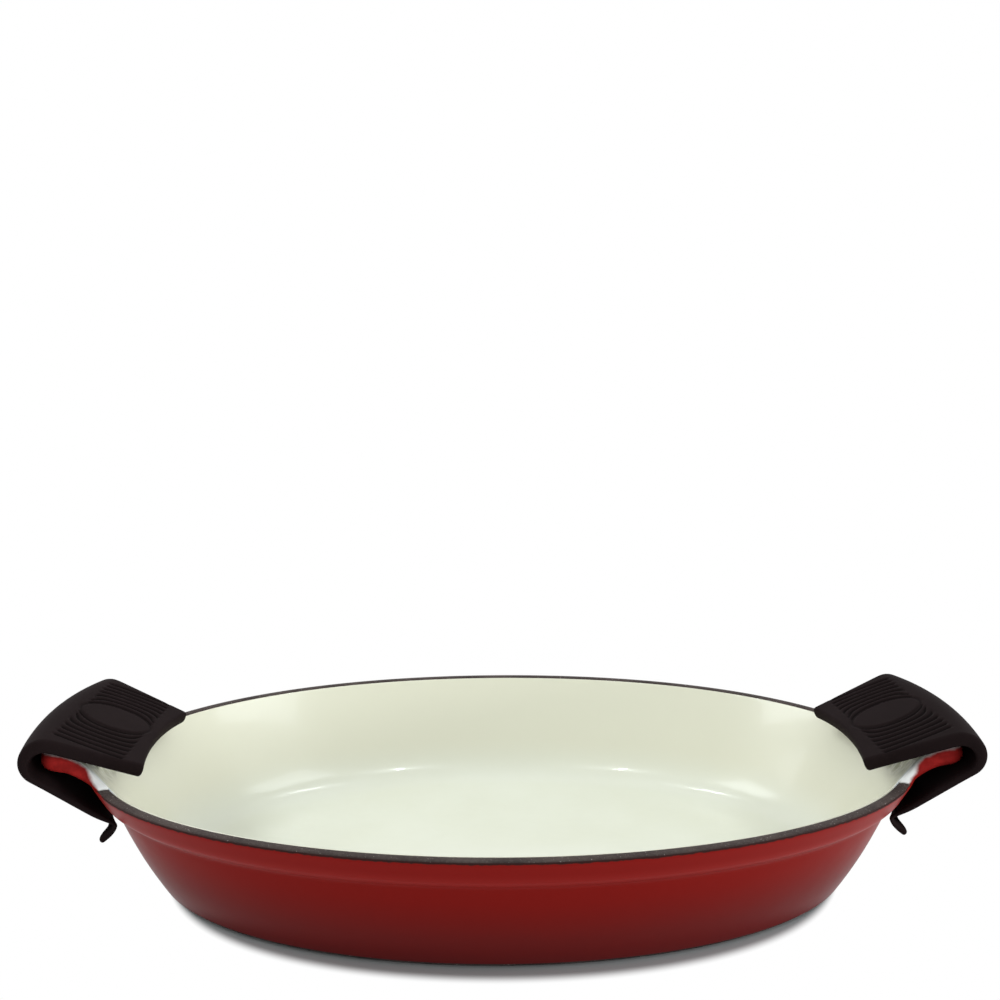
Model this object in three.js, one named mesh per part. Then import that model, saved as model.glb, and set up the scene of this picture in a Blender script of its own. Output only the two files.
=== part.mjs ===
// Oval enamelled cast iron roasting dish with two slip-on silicone handle grips.
// Millimetres, +Z up, +X along the dish. The origin is the middle of the flat base.
import * as THREE from 'three';
import { ParametricGeometry } from 'three/addons/geometries/ParametricGeometry.js';
import { mergeGeometries, mergeVertices } from 'three/addons/utils/BufferGeometryUtils.js';

// Bowl, measured on the outside of the rim
const RIM_LENGTH = 330;
const RIM_BREADTH = 219;
const RIM_HEIGHT = 49;
// The rim dips by this much from the middle of the long sides to the handles.
const RIM_DIP = 1.6;
const RIM_WIDTH = 4.3;
// The thickened collar under the rim and the soft step below it
const COLLAR_HEIGHT = 11;
const COLLAR_LEAN = 4.2;
const STEP_HEIGHT = 2.4;
const STEP_DEPTH = 3.2;
// The wall leans in towards the foot and bulges a little on the way.
const WALL_LEAN = 17;
const WALL_BELLY = 1.2;
const FOOT_HEIGHT = 2;
const FOOT_LEAN = 2.2;
// Below the step the ends lie this much further in than the long sides, and at the foot further
// still, from the first to the second of these insets.
const END_DRAW = 1.7;
const FOOT_DRAW = 0.8;
const FOOT_DRAW_SPAN = [20, 25];
const FLOOR_THICKNESS = 4.6;
const INNER_LEAN = 25;
const FLOOR_FILLET = 9.5;

// Handles, cast in one with the bowl
const HANDLE_REACH = 14;
const HANDLE_RISE = 12.4;
const HANDLE_THICKNESS = 6;
const HANDLE_ROUND = 3;
const HANDLE_ROOT = 85;
const HANDLE_WAIST = 70;
const HANDLE_BREADTH = 72.5;
const HANDLE_CORNER = 12;
const HANDLE_BOW = 3.4;
// The top is level over this length at the end, and the waist lies this far from the end.
const HANDLE_LEVEL = 11;
const WAIST_SETBACK = 16.6;
// Shares of the handle's length: where its sides stop sweeping in, and where its full depth begins
const ROOT_SWEEP = 0.85;
const UNDERCUT = 0.55;

// Enamel coats
const COAT = 0.45;
const BOND = 0.02;

// Silicone grips: a top plate, a bend round the handle's end, a flap and its lip underneath
const GRIP_SLOPE = THREE.MathUtils.degToRad(21.5);
const FLAP_SLOPE = THREE.MathUtils.degToRad(35);
const GRIP_BREADTH = 88;
const GRIP_NECK = 67;
const PLATE_REACH = 40;
const PLATE_THICKNESS = 5.5;
const BEND_THICKNESS = 3.8;
const FLAP_THICKNESS = 2.4;
const CAVITY_RADIUS = 5.1;
const BEND_BOW = 4.3;
const NOSE_BOW = 3.5;
// The flap's foot meets the wall at least this far below the collar's step.
const SEAT_DROP = 2;
// Its middle stands this much further off the wall, clear of the collar.
const FOOT_BOW = 0.9;
const LIP_DROP = 7.2;
const LIP_FLARE = 5.6;
const LIP_THICKNESS = 2;
const LIP_ROOT = 3.6;
const LIP_CURVE = 0.7;
// The lip is left as an ear at each corner: where an ear starts and is full across the flap, and
// how much of the lip's drop stays between the ears
const EAR_START = 0.7;
const EAR_FULL = 0.88;
const LIP_MIDDLE = 0.12;
// Free space between a grip and what it is pushed on to, and at the handle's end
const FIT = 0.35;
const END_FIT = 1.5;

// How finely the surfaces are divided
const SIDE_COLUMNS = 22;
const HANDLE_COLUMNS = 8;
const CURVE_STEPS = 3;
const SEAM_TOLERANCE = 1e-3;
const GRIP_STATIONS = 10;
const BEND_SEGMENTS = 6;
// A coat grows at least this much away from each face that it meets, found by leaning it in passes.
const LEAST_GROWTH = 0.4;
const GROWTH_PASSES = 40;

const [TOP, MIDDLE, UNDER] = [0, 1, 2];
const HALF_LENGTH = RIM_LENGTH / 2;
const HALF_BREADTH = RIM_BREADTH / 2;
const HANDLE_END = HALF_LENGTH + HANDLE_REACH;
const HANDLE_TOP = RIM_HEIGHT - RIM_DIP + HANDLE_RISE;
const HANDLE_ANGLE = Math.asin(HANDLE_ROOT / RIM_BREADTH);
const WALL_INSET = COLLAR_LEAN + STEP_DEPTH;
const WALL_TOP = RIM_HEIGHT - COLLAR_HEIGHT - STEP_HEIGHT;
const COAT_FACE = BOND + COAT;
const { lerp, clamp, smoothstep } = THREE.MathUtils;

const castIron = new THREE.MeshStandardMaterial({ color: 0x3d3533, roughness: 0.75, metalness: 0.3 });
const creamEnamel = new THREE.MeshStandardMaterial({ color: 0xe6e8d6, roughness: 0.18, metalness: 0 });
const redEnamel = new THREE.MeshStandardMaterial({ color: 0x8c1414, roughness: 0.15, metalness: 0 });
const blackSilicone = new THREE.MeshStandardMaterial({ color: 0x231d1d, roughness: 0.6, metalness: 0 });

// Profiles: x is how far a point lies inside the rim's outer oval, y is its height.
function outsideProfile() {
  const collarFoot = RIM_HEIGHT - COLLAR_HEIGHT;
  const footInset = WALL_INSET + WALL_LEAN;
  const path = new THREE.Path();
  path.moveTo(0, RIM_HEIGHT);
  path.lineTo(COLLAR_LEAN, collarFoot);
  path.bezierCurveTo(
    COLLAR_LEAN, collarFoot - STEP_HEIGHT / 2,
    WALL_INSET, WALL_TOP + STEP_HEIGHT / 2,
    WALL_INSET, WALL_TOP,
  );
  path.quadraticCurveTo(
    (WALL_INSET + footInset) / 2 - 2 * WALL_BELLY, (WALL_TOP + FOOT_HEIGHT) / 2,
    footInset, FOOT_HEIGHT,
  );
  return path.getPoints(CURVE_STEPS).reverse();
}

function footProfile() {
  const footInset = WALL_INSET + WALL_LEAN;
  const path = new THREE.Path();
  path.moveTo(footInset + FOOT_LEAN, 0);
  path.quadraticCurveTo(footInset + FOOT_LEAN / 2, 0, footInset, FOOT_HEIGHT);
  return path.getPoints(CURVE_STEPS);
}

function insideProfile() {
  const wall = new THREE.Vector2(-INNER_LEAN, RIM_HEIGHT - FLOOR_THICKNESS).normalize();
  const corner = new THREE.Vector2(RIM_WIDTH + INNER_LEAN, FLOOR_THICKNESS);
  const path = new THREE.Path();
  path.moveTo(RIM_WIDTH, RIM_HEIGHT);
  path.lineTo(corner.x + wall.x * FLOOR_FILLET, corner.y + wall.y * FLOOR_FILLET);
  path.quadraticCurveTo(corner.x, corner.y, corner.x + FLOOR_FILLET, corner.y);
  return path.getPoints(CURVE_STEPS);
}

// Round the oval: columns are close together at the handles and wider along the sides.
function columnAngles() {
  const angles = [];
  for (let half = 0; half < 2; half += 1) {
    for (let i = 0; i < HANDLE_COLUMNS; i += 1) {
      angles.push(half * Math.PI + lerp(-HANDLE_ANGLE, HANDLE_ANGLE, i / HANDLE_COLUMNS));
    }
    for (let i = 0; i < SIDE_COLUMNS; i += 1) {
      angles.push(half * Math.PI + lerp(HANDLE_ANGLE, Math.PI - HANDLE_ANGLE, i / SIDE_COLUMNS));
    }
  }
  return angles;
}

const angles = columnAngles();

function ovalPoint(angle, inset, height) {
  const upWall = Math.max(0, (height - FLOOR_THICKNESS) / (RIM_HEIGHT - FLOOR_THICKNESS));
  const dip = RIM_DIP * Math.cos(angle) ** 4 * upWall ** 2;
  const drawnIn = END_DRAW * smoothstep(inset, COLLAR_LEAN, WALL_INSET)
    + FOOT_DRAW * smoothstep(inset, ...FOOT_DRAW_SPAN);
  return new THREE.Vector3(
    (HALF_LENGTH - inset - drawnIn) * Math.cos(angle),
    (HALF_BREADTH - inset) * Math.sin(angle),
    height - dip,
  );
}

// A surface patch from a point for each whole column and row number
function patch(columns, rows, pointAt) {
  const place = (u, v, target) => target.copy(pointAt(Math.round(u * columns), Math.round(v * rows)));
  return new ParametricGeometry(place, columns, rows);
}

function ovalBand(profile) {
  const around = angles.length;
  return patch(around, profile.length - 1, (column, row) =>
    ovalPoint(angles[column % around], profile[row].x, profile[row].y));
}

function ovalDisc({ x: inset, y: height }, facing) {
  const outline = angles.map((angle) => {
    const { x, y } = ovalPoint(angle, inset, 0);
    return new THREE.Vector2(x, y);
  });
  const disc = new THREE.ShapeGeometry(new THREE.Shape(outline));
  if (facing < 0) {
    disc.setIndex(Array.from(disc.index.array).reverse());
  }
  return disc.translate(0, 0, height);
}

// The handle's edge has three levels: 0 along its top, 1 half way down and 2 along its underside,
// which is rounded in. At the root the same levels cross the rim from its inside to its outside.
function edgeInset(level) {
  return RIM_WIDTH * (1 - level / UNDER);
}

function edgeTrim(level) {
  return level === UNDER ? HANDLE_ROUND : 0;
}

// One edge of the right handle in plan, from the rim past the waist and round the corner
function handleSide(level) {
  const trim = edgeTrim(level);
  const corner = HANDLE_CORNER - trim;
  const root = ovalPoint(HANDLE_ANGLE, edgeInset(level), RIM_HEIGHT);
  const waist = new THREE.Vector2(HANDLE_END - WAIST_SETBACK, HANDLE_WAIST / 2 - trim);
  const flare = new THREE.Vector2(HANDLE_END - HANDLE_CORNER, HANDLE_BREADTH / 2 - trim);
  const middle = (waist.x + flare.x) / 2;
  const side = new THREE.Path();
  side.moveTo(root.x, root.y);
  side.quadraticCurveTo(lerp(root.x, waist.x, ROOT_SWEEP), waist.y, waist.x, waist.y);
  side.bezierCurveTo(middle, waist.y, middle, flare.y, flare.x, flare.y);
  side.absarc(flare.x, flare.y - corner, corner, Math.PI / 2, 0, true);
  return side.getPoints(CURVE_STEPS);
}

// Where a column of the handle lies across its breadth, from -1 to 1
function acrossAt(angle) {
  return Math.sin(angle) / Math.sin(HANDLE_ANGLE);
}

// Height of the handle's top: it rolls over from the wall in the middle and sweeps up at the sides.
function handleTop(x, angle) {
  const root = ovalPoint(angle, RIM_WIDTH, RIM_HEIGHT);
  const climb = clamp((x - root.x) / (HANDLE_END - HANDLE_LEVEL - root.x), 0, 1);
  const inMiddle = 1 - (1 - climb) ** 2;
  const atSide = smoothstep(climb, 0, 1);
  return lerp(root.z, HANDLE_TOP, lerp(inMiddle, atSide, acrossAt(angle) ** 2));
}

const handleSides = [TOP, MIDDLE, UNDER].map(handleSide);
const lastRow = handleSides[TOP].length - 1;

// A point of the handle: the columns start at the rim and keep their share of the breadth.
function handlePoint(column, row, level) {
  const side = handleSides[level];
  const angle = lerp(-HANDLE_ANGLE, HANDLE_ANGLE, column / HANDLE_COLUMNS);
  const across = acrossAt(angle);
  const root = ovalPoint(angle, edgeInset(level), RIM_HEIGHT);
  const topRoot = ovalPoint(angle, RIM_WIDTH, RIM_HEIGHT);
  const share = (side[row].x - side[0].x) / (side[lastRow].x - side[0].x);
  const y = across * side[row].y;
  const bow = HANDLE_BOW * (2 * y / HANDLE_BREADTH) ** 2 * share;
  const top = handleTop(lerp(topRoot.x, HANDLE_END, share) - bow, angle);
  const depth = HANDLE_THICKNESS * (level / UNDER) * smoothstep(share, 0, UNDERCUT);
  const x = lerp(root.x, HANDLE_END - edgeTrim(level), share) - bow;
  return new THREE.Vector3(x, y, top - depth);
}

function bothEnds(build) {
  return [build(), build().rotateZ(Math.PI)];
}

const handleTops = bothEnds(() =>
  patch(HANDLE_COLUMNS, lastRow, (column, row) => handlePoint(column, lastRow - row, TOP)));
const handleUndersides = bothEnds(() =>
  patch(HANDLE_COLUMNS, lastRow, (column, row) => handlePoint(column, row, UNDER)));
const handleEdges = [
  ...bothEnds(() =>
    patch(lastRow, UNDER, (row, level) => handlePoint(HANDLE_COLUMNS, row, level))),
  ...bothEnds(() =>
    patch(lastRow, UNDER, (row, level) => handlePoint(0, row, UNDER - level))),
  ...bothEnds(() =>
    patch(HANDLE_COLUMNS, UNDER, (column, level) => handlePoint(column, lastRow, UNDER - level))),
];
const rims = bothEnds(() =>
  patch(SIDE_COLUMNS, UNDER, (column, level) =>
    ovalPoint(angles[HANDLE_COLUMNS + column], edgeInset(UNDER - level), RIM_HEIGHT)));

// Joins patches along their shared edges, without normals or texture coordinates.
function joined(patches) {
  const bare = patches.map((part) => {
    const geometry = new THREE.BufferGeometry();
    geometry.setAttribute('position', part.getAttribute('position'));
    geometry.setIndex(part.index);
    return geometry;
  });
  return mergeVertices(mergeGeometries(bare), SEAM_TOLERANCE);
}

const inside = insideProfile();
const foot = footProfile();
const insideSheet = joined([ovalBand(inside), ovalDisc(inside.at(-1), 1), ...handleTops]);
const outsideSheet = joined([ovalBand(outsideProfile()), ...handleUndersides, ...handleEdges]);
const bareIron = joined([...rims, ovalBand(foot), ovalDisc(foot[0], -1)]);

// The direction in which a coat grows at each vertex of a sheet: the mean of the normals of the faces
// there, leaned until it leads away from every one of those faces.
function growthDirections(sheet) {
  const place = sheet.getAttribute('position');
  const normals = Array.from({ length: place.count }, () => []);
  const corners = sheet.index.array;
  const face = new THREE.Triangle();
  for (let i = 0; i < corners.length; i += 3) {
    const [a, b, c] = corners.slice(i, i + 3);
    face.setFromAttributeAndIndices(place, a, b, c);
    const normal = face.getNormal(new THREE.Vector3());
    normals[a].push(normal);
    normals[b].push(normal);
    normals[c].push(normal);
  }
  return normals.map((around) => {
    const direction = new THREE.Vector3();
    around.forEach((normal) => direction.add(normal));
    direction.normalize();
    for (let pass = 0; pass < GROWTH_PASSES; pass += 1) {
      for (const normal of around) {
        direction.addScaledVector(normal, Math.max(0, LEAST_GROWTH - direction.dot(normal)));
      }
    }
    return direction.normalize();
  });
}

// A coat of even thickness on a sheet: the sheet moved out twice, closed round its open edges.
function coatOn(sheet) {
  const place = sheet.getAttribute('position');
  const directions = growthDirections(sheet);
  const count = place.count;
  const positions = [];
  const point = new THREE.Vector3();
  for (const offset of [BOND, COAT_FACE]) {
    directions.forEach((direction, i) => {
      point.fromBufferAttribute(place, i).addScaledVector(direction, offset);
      positions.push(point.x, point.y, point.z);
    });
  }
  const faces = [];
  const openEdges = new Map();
  const corners = sheet.index.array;
  for (let i = 0; i < corners.length; i += 3) {
    const [a, b, c] = corners.slice(i, i + 3);
    faces.push(c, b, a, a + count, b + count, c + count);
    for (const [from, to] of [[a, b], [b, c], [c, a]]) {
      if (!openEdges.delete(`${to} ${from}`)) {
        openEdges.set(`${from} ${to}`, [from, to]);
      }
    }
  }
  for (const [from, to] of openEdges.values()) {
    faces.push(from, to, to + count, from, to + count, from + count);
  }
  const coat = new THREE.BufferGeometry();
  coat.setAttribute('position', new THREE.Float32BufferAttribute(positions, 3));
  coat.setIndex(faces);
  return coat;
}

// The grip's section on its own side face: plate, bend, flap and lip. Its plate lies on the handle.
function plateSeat() {
  const heights = [];
  for (let column = 0; column <= HANDLE_COLUMNS; column += 1) {
    for (let row = 0; row <= lastRow; row += 1) {
      const { x, z } = handlePoint(column, row, TOP);
      heights.push(z - Math.tan(GRIP_SLOPE) * x);
    }
  }
  return Math.max(...heights) + (COAT_FACE + FIT) / Math.cos(GRIP_SLOPE);
}

const plateStart = plateSeat();
const plateUnderside = (x) => plateStart + Math.tan(GRIP_SLOPE) * x;
const noseX = HANDLE_END - PLATE_REACH;
const cavityX = HANDLE_END + COAT_FACE + END_FIT - BEND_BOW * Math.cos(GRIP_SLOPE) - CAVITY_RADIUS;
const cavity = new THREE.Vector2(
  cavityX,
  plateUnderside(cavityX) - CAVITY_RADIUS / Math.cos(GRIP_SLOPE),
);
const plateNormal = new THREE.Vector2(-Math.sin(GRIP_SLOPE), Math.cos(GRIP_SLOPE));

// The grip narrows from the bend to its nose.
function gripHalfBreadth(x) {
  return lerp(GRIP_NECK, GRIP_BREADTH, (x - noseX) / (HANDLE_END - noseX)) / 2;
}

// Where the flap's foot stands off the enamelled wall
function wallSeat(y) {
  const reach = HALF_LENGTH - WALL_INSET - END_DRAW;
  const wall = reach * Math.sqrt(1 - (y / (HALF_BREADTH - WALL_INSET)) ** 2);
  return wall + COAT_FACE + FIT;
}

const footX = wallSeat(gripHalfBreadth(HALF_LENGTH - WALL_INSET));

// The flap is as steep as it must be for its foot to meet the wall below the collar.
function steepEnough() {
  const toCavity = cavity.clone().sub(new THREE.Vector2(footX, WALL_TOP - SEAT_DROP));
  return Math.max(FLAP_SLOPE, toCavity.angle() - Math.asin(CAVITY_RADIUS / toCavity.length()));
}

const flapSlope = steepEnough();
const flapNormal = new THREE.Vector2(Math.sin(flapSlope), -Math.cos(flapSlope));

// A point on a line of the section, at a given distance from the cavity's centre line
function plateAt(x, thickness) {
  const start = cavity.clone().addScaledVector(plateNormal, CAVITY_RADIUS + thickness);
  return new THREE.Vector2(x, start.y + Math.tan(GRIP_SLOPE) * (x - start.x));
}

function flapAt(x, thickness) {
  const start = cavity.clone().addScaledVector(flapNormal, CAVITY_RADIUS + thickness);
  return new THREE.Vector2(x, start.y + Math.tan(flapSlope) * (x - start.x));
}

// The outer bend is the circle that meets the plate's top, the flap's underside and the end wall.
function outerBend() {
  const plateExtra = PLATE_THICKNESS - BEND_THICKNESS;
  const flapExtra = BEND_THICKNESS - FLAP_THICKNESS;
  const fromPlate = 1 / Math.cos(GRIP_SLOPE);
  const fromFlap = 1 / Math.cos(flapSlope);
  const x = (flapExtra * fromFlap - plateExtra * fromPlate)
    / (fromPlate + Math.tan(GRIP_SLOPE) + fromFlap - Math.tan(flapSlope));
  const y = (plateExtra + x * (1 + Math.sin(GRIP_SLOPE))) * fromPlate;
  const centre = new THREE.Vector2(cavity.x + x, cavity.y + y);
  return { centre, radius: CAVITY_RADIUS + BEND_THICKNESS - x };
}

function gripSection() {
  const plateAngle = Math.PI / 2 + GRIP_SLOPE;
  const flapAngle = flapSlope - Math.PI / 2;
  const bend = outerBend();
  const noseUnder = plateAt(noseX, 0);
  const bendStart = plateAt(cavity.x - CAVITY_RADIUS * Math.sin(GRIP_SLOPE), 0);
  const noseTop = plateAt(noseX + PLATE_THICKNESS * Math.sin(GRIP_SLOPE), PLATE_THICKNESS);
  const flapFoot = flapAt(footX, 0);
  const lipTip = new THREE.Vector2(flapFoot.x + LIP_FLARE, flapFoot.y - LIP_DROP);
  const lipBack = new THREE.Vector2(lipTip.x, lipTip.y + LIP_THICKNESS);
  const lipRoot = flapAt(flapFoot.x + LIP_ROOT, FLAP_THICKNESS);
  const section = new THREE.Shape();
  section.moveTo(noseUnder.x, noseUnder.y);
  section.lineTo(bendStart.x, bendStart.y);
  section.absarc(cavity.x, cavity.y, CAVITY_RADIUS, plateAngle, flapAngle, true);
  section.lineTo(flapFoot.x, flapFoot.y);
  section.quadraticCurveTo(flapFoot.x, lerp(flapFoot.y, lipTip.y, LIP_CURVE), lipTip.x, lipTip.y);
  section.lineTo(lipBack.x, lipBack.y);
  section.quadraticCurveTo(lipRoot.x, lerp(lipRoot.y, lipBack.y, LIP_CURVE), lipRoot.x, lipRoot.y);
  section.absarc(bend.centre.x, bend.centre.y, bend.radius, flapAngle, plateAngle, false);
  section.lineTo(noseTop.x, noseTop.y);
  section.closePath();
  return section;
}

// The section is drawn out across the handle and bowed: the bend and the nose follow shallow arcs,
// the flap's foot follows the bowl's wall, and the lip is drawn up between its two ears.
function gripGeometry() {
  const footHeight = flapAt(footX, 0).y;
  const geometry = new THREE.ExtrudeGeometry(gripSection(), {
    depth: 1,
    steps: GRIP_STATIONS,
    curveSegments: BEND_SEGMENTS,
    bevelEnabled: false,
  });
  const place = geometry.getAttribute('position');
  for (let i = 0; i < place.count; i += 1) {
    const x = place.getX(i);
    const z = place.getY(i);
    const across = 1 - 2 * place.getZ(i);
    const y = across * gripHalfBreadth(x);
    const bow = 1 - across ** 2;
    const isPlate = z > plateUnderside(x) - CAVITY_RADIUS;
    const startX = isPlate ? noseX : footX;
    const share = clamp((x - startX) / (cavity.x - startX), 0, 1);
    const offWall = wallSeat(across * gripHalfBreadth(footX)) - footX + FOOT_BOW * bow;
    const startShift = isPlate ? NOSE_BOW * bow : offWall;
    const startRise = isPlate ? NOSE_BOW * bow * Math.tan(GRIP_SLOPE) : 0;
    const endShift = BEND_BOW * bow * Math.cos(GRIP_SLOPE);
    const endRise = BEND_BOW * bow * Math.sin(GRIP_SLOPE);
    const below = Math.max(0, footHeight - z);
    const ear = smoothstep(Math.abs(across), EAR_START, EAR_FULL);
    const drawnUp = (1 - LIP_MIDDLE) * (1 - ear);
    const lipShift = drawnUp * LIP_FLARE * (below / LIP_DROP) ** 2;
    place.setXYZ(
      i,
      x + lerp(startShift, endShift, share) - lipShift,
      y,
      z + lerp(startRise, endRise, share) + drawnUp * below,
    );
  }
  return geometry;
}

function named(name, geometry, material) {
  const mesh = new THREE.Mesh(geometry, material);
  mesh.name = name;
  return mesh;
}

const dish = new THREE.Group();
dish.add(named('cast_iron_body', joined([insideSheet, outsideSheet, bareIron]), castIron));
dish.add(named('interior_enamel', coatOn(insideSheet), creamEnamel));
dish.add(named('exterior_enamel', coatOn(outsideSheet), redEnamel));

const rightGrip = named('right_grip', gripGeometry(), blackSilicone);
const leftGrip = named('left_grip', gripGeometry(), blackSilicone);
leftGrip.rotation.z = Math.PI;
dish.add(rightGrip, leftGrip);

export default dish;
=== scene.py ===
# %% [markdown]
# # An oval roasting dish in enamelled cast iron
# The real dish is one heavy casting with a handle at each end. It is coated with cream glass
# enamel inside and red enamel outside, and only the rim and the base are left as bare iron.
# A black silicone sleeve is pushed over each handle. The lesson models the casting once, takes
# both coats from its surface, models one sleeve and copies it to the other end.

# %% Load the measured frame
import math

import bmesh
import bpy
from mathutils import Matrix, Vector


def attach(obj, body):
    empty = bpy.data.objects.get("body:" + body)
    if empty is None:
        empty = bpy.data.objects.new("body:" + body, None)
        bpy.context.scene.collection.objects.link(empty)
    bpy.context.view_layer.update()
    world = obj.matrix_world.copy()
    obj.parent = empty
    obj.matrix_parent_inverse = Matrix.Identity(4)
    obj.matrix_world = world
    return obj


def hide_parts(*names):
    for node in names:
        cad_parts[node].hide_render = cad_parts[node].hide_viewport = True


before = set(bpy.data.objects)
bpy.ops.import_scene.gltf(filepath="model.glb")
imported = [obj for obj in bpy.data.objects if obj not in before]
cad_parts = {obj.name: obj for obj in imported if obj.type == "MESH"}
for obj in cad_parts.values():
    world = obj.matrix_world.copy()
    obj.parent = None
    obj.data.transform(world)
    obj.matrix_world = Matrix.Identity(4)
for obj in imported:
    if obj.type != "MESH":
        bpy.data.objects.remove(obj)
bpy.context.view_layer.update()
bpy.ops.object.select_all(action="DESELECT")
MM = 0.001

# %% [markdown]
# ## The camera
# The photograph was taken from close by, a little above the rim, so the near rim looks much
# lower than the far one. A camera could be placed by eye. Here its place and lens come from
# fitting the rim and the sleeves.

# %% Camera
CAMERA_PLACE = Vector((-12.4, -456.7, 206.6))
CAMERA_TILT = math.radians(83.11)
CAMERA_TURN = math.radians(-1.35)
SENSOR_WIDTH = 36
LENS = 41.44
NEAREST_SEEN = 10

scene = bpy.context.scene
bpy.ops.object.camera_add(location=CAMERA_PLACE * MM, rotation=(CAMERA_TILT, 0, CAMERA_TURN))
camera = bpy.context.object
camera.data.sensor_width = SENSOR_WIDTH
camera.data.lens = LENS
camera.data.clip_start = NEAREST_SEEN * MM
scene.camera = camera
print("camera lens", camera.data.lens, "mm at", tuple(round(v, 3) for v in camera.location))

# %% [markdown]
# ## The bowl of the casting
# A sand-cast bowl has soft corners everywhere: a foot ring, a leaning wall, a step under the
# collar, a flat rim, and a wide fillet between wall and floor. It could be spun from a profile,
# but an oval isn't round, so a circle is stretched to the oval base and extruded ring by ring:
# each ring is moved up and resized, out over the rim and down the inside to the floor.
# Each vertex remembers its ring and its column, so that later steps can find it.

# %% Ring by ring
HALF_LENGTH = 165.0
HALF_BREADTH = 109.5
COLUMNS = 64
COLUMN_TURN = 2 * math.pi / COLUMNS
# A subdivision surface shrinks a ring of straight edges by this much, so rings start larger.
SMOOTHING = 3 / (2 + math.cos(COLUMN_TURN))
# How far each ring lies inside the rim's outer oval, and its height
RINGS = [
    (62.0, 0.0), (31.0, 0.0), (26.9, 0.0), (25.3, 0.6), (24.2, 2.1),
    (22.3, 5.6), (17.4, 14.5), (12.9, 24.0), (9.1, 33.0), (8.0, 36.0),
    (7.1, 38.0), (5.0, 39.5), (4.0, 41.2), (2.2, 44.6), (0.35, 48.0),
    (-0.05, 49.05), (0.75, 49.4), (3.55, 49.4), (4.4, 48.9), (5.2, 47.4),
    (11.0, 37.1), (18.0, 24.7), (22.6, 16.5), (26.6, 10.6), (32.0, 6.6),
    (40.0, 4.8), (62.0, 4.6),
]
FOOT_RING = 4
OUTER_RIM = 15
INNER_RIM = 18
# Between these two insets the bowl's ends are drawn in by END_DRAW, more than its long sides,
# and at the foot, between the two of FOOT_DRAW_SPAN, by FOOT_DRAW as well.
COLLAR_INSET = 4.2
WALL_INSET = 7.4
END_DRAW = 1.7
FOOT_DRAW = 0.8
FOOT_DRAW_SPAN = (20.0, 25.0)


def ease(share):
    """0 up to 0, 1 from 1 on, and smooth between."""
    share = min(1.0, max(0.0, share))
    return share * share * (3 - 2 * share)


def oval_axes(inset):
    """Half length and half breadth of the ring that lies this far inside the rim's outer oval."""
    start, full = FOOT_DRAW_SPAN
    drawn_in = END_DRAW * ease((inset - COLLAR_INSET) / (WALL_INSET - COLLAR_INSET))
    drawn_in += FOOT_DRAW * ease((inset - start) / (full - start))
    half_length = HALF_LENGTH - inset - drawn_in
    return half_length * SMOOTHING * MM, (HALF_BREADTH - inset) * SMOOTHING * MM


def mark_selected(mesh, **numbers):
    """Writes numbers on the selected vertices, in layers named after them."""
    shape = bmesh.from_edit_mesh(mesh)
    for name, number in numbers.items():
        layer = shape.verts.layers.int.get(name) or shape.verts.layers.int.new(name)
        for vertex in shape.verts:
            if vertex.select:
                vertex[layer] = number
    bmesh.update_edit_mesh(mesh)


bpy.ops.mesh.primitive_circle_add(vertices=COLUMNS, radius=1, fill_type="NGON")
casting = bpy.context.object
casting.name = "bare_iron_casting"
bpy.ops.object.mode_set(mode="EDIT")
first_axes = oval_axes(RINGS[0][0])
bpy.ops.transform.resize(value=(first_axes[0], first_axes[1], 1))
mark_selected(casting.data, ring=0)
for number in range(1, len(RINGS)):
    (last_inset, last_height), (inset, height) = RINGS[number - 1], RINGS[number]
    last_axes, axes = oval_axes(last_inset), oval_axes(inset)
    bpy.ops.mesh.extrude_region_move(
        TRANSFORM_OT_translate={"value": (0, 0, (height - last_height) * MM)})
    bpy.ops.transform.resize(value=(axes[0] / last_axes[0], axes[1] / last_axes[1], 1))
    mark_selected(casting.data, ring=number)
print("bowl rings:", len(RINGS), "faces:", len(bmesh.from_edit_mesh(casting.data).faces))

# %% [markdown]
# The rim isn't quite level: it dips a little towards the handles. A proportional move would pull
# the foot down with it, so each vertex is lowered by a rule: most at the ends, and less and less
# down the wall.

# %% Dip the rim
RIM_DIP = 1.6
RIM_HEIGHT = 49.0
FLOOR_HEIGHT = 4.6


def rim_dip(angle, height):
    up_wall = max(0.0, (height - FLOOR_HEIGHT) / (RIM_HEIGHT - FLOOR_HEIGHT))
    return RIM_DIP * math.cos(angle) ** 4 * up_wall ** 2


shape = bmesh.from_edit_mesh(casting.data)
ring_of = shape.verts.layers.int["ring"]
column_of = shape.verts.layers.int.new("column")
for vertex in shape.verts:
    across, along = oval_axes(RINGS[vertex[ring_of]][0])[::-1]
    angle = math.atan2(vertex.co.y / across, vertex.co.x / along)
    vertex[column_of] = round(angle / COLUMN_TURN)
    vertex.co.z -= rim_dip(angle, vertex.co.z / MM) * MM
bmesh.update_edit_mesh(casting.data)
print("rim at the handles, mm:", round(RIM_HEIGHT - RIM_DIP, 1))

# %% [markdown]
# ## The handles
# Each handle is cast in one with the bowl: the inner wall rolls over into its top, and the rim's
# outer edge becomes its underside. So the rim's faces at each end are extruded step by step.
# A move, a turn and a resize can't straighten the oval's curve into the handle's end, so each
# step is laid out by a plan: the half breadth at some places along the handle, and four levels
# from its top edge round to its underside.

# %% Handle plan
HANDLE_END = 179.0
HANDLE_TOP = 59.8
# The end bows by this much at this half breadth.
HANDLE_BOW = 2.6
BOW_HALF_BREADTH = 35.9
# The top is level over this length at the end.
LEVEL_LENGTH = 11.0
# A handle takes up this many columns on each side of its middle.
HALF_COLUMNS = 4
HANDLE_ANGLE = HALF_COLUMNS * COLUMN_TURN
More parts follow.
